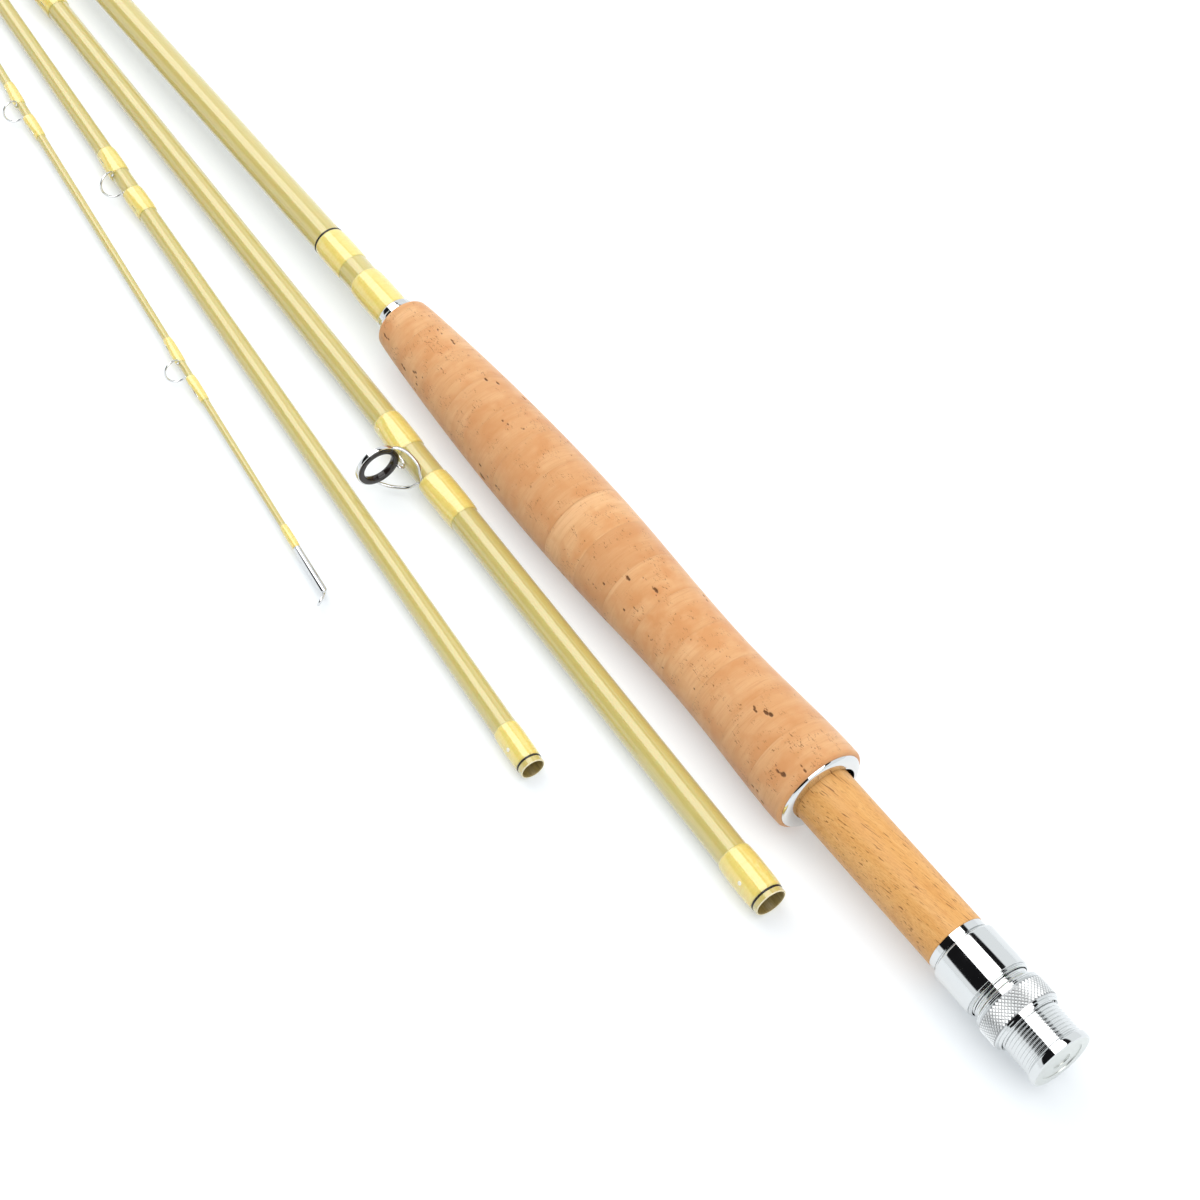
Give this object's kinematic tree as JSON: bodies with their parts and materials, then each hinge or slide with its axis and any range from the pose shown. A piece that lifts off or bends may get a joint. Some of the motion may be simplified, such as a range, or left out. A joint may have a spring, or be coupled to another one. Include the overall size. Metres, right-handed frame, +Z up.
{
  "type": "fly fishing rod",
  "caption": "Fly rod taken apart into its sections, with a cork grip, a wooden up-locking reel seat with sliding hood and screw nut, wire snake guides and a ringed stripping guide.",
  "frame": {"origin": "centre of the footprint of the laid-out sections, on the table they lie on", "axes": "+X along the butt section from its butt cap towards its tip end, +Y from the butt section towards the other sections, +Z up"},
  "size_m": [0.7807, 0.0824, 0.0268],
  "materials": {
    "blank": "clear varnished pale olive-straw glass fibre",
    "thread_wrap": "golden yellow thread under clear varnish",
    "trim": "dark brown-black thread under varnish",
    "cork": "sanded natural cork",
    "seat_wood": "oiled orange beech",
    "chrome": "bright polished",
    "guide_wire": "bright wire",
    "ceramic": "polished dark ceramic",
    "nylon": "plain",
    "tape": "paper tape arbor"
  },
  "bodies": {
    "butt_section": {"butt_blank": "blank", "cork_ring_01": "cork", "cork_ring_02": "cork", "cork_ring_03": "cork", "cork_ring_04": "cork", "cork_ring_05": "cork", "cork_ring_06": "cork", "cork_ring_07": "cork", "cork_ring_08": "cork", "cork_ring_09": "cork", "cork_ring_10": "cork", "cork_ring_11": "cork", "cork_ring_12": "cork", "cork_ring_13": "cork", "cork_ring_14": "cork", "cork_ring_15": "cork", "winding_check": "chrome", "grip_wrap": "thread_wrap", "label_wrap": "thread_wrap", "label_trim": "trim", "fixed_hood": "chrome", "seat_insert": "seat_wood", "seat_arbors": "tape", "thread_barrel": "chrome", "butt_cap": "chrome"},
    "nut_carriage": {"slip_washer": "nylon"},
    "lock_nut": {"lock_nut": "chrome"},
    "sliding_hood": {"sliding_hood": "chrome"},
    "lower_mid_section": {"lower_mid_blank": "blank", "lower_mid_joint_wrap": "thread_wrap", "lower_mid_joint_trim": "trim", "stripping_guide_frame": "guide_wire", "stripping_guide_ring": "ceramic", "stripping_guide_wraps": "thread_wrap", "lower_mid_snake": "guide_wire", "lower_mid_snake_wraps": "thread_wrap"},
    "upper_mid_section": {"upper_mid_blank": "blank", "upper_mid_joint_wrap": "thread_wrap", "upper_mid_joint_trim": "trim", "upper_mid_snake_1": "guide_wire", "upper_mid_snake_2": "guide_wire", "upper_mid_snake_wraps": "thread_wrap"},
    "tip_section": {"tip_blank": "blank", "tip_joint_wrap": "thread_wrap", "tip_joint_trim": "trim", "tip_snake_1": "guide_wire", "tip_snake_2": "guide_wire", "tip_snake_3": "guide_wire", "tip_snake_4": "guide_wire", "tip_snake_wraps": "thread_wrap", "tip_top_tube": "guide_wire", "tip_top_loop": "guide_wire", "tip_top_wrap": "thread_wrap"}
  },
  "joints": [
    {"name": "nut_travel", "type": "slide", "parent": "butt_section", "child": "nut_carriage", "axis": [1, 0, 0], "range_m": [-0.0092, 0.015]},
    {"name": "nut_turn", "type": "hinge", "parent": "nut_carriage", "child": "lock_nut", "pos_m": [-0.37522, -0.02783, 0.0134], "axis": [1, 0, 0], "range_deg": [-3312, 5400]},
    {"name": "hood_slide", "type": "slide", "parent": "nut_carriage", "child": "sliding_hood", "axis": [1, 0, 0], "range_m": [-0.0024, 0.038]},
    {"name": "lower_mid_lift", "type": "slide", "parent": "butt_section", "child": "lower_mid_section", "axis": [0, 0, 1], "range_m": [0, 0.12]},
    {"name": "upper_mid_lift", "type": "slide", "parent": "butt_section", "child": "upper_mid_section", "axis": [0, 0, 1], "range_m": [0, 0.12]},
    {"name": "tip_lift", "type": "slide", "parent": "butt_section", "child": "tip_section", "axis": [0, 0, 1], "range_m": [0, 0.12]}
  ],
  "couplings": [
    {"joint": "nut_travel", "follows": "nut_turn", "m_per_rad": 0.00015915}
  ]
}
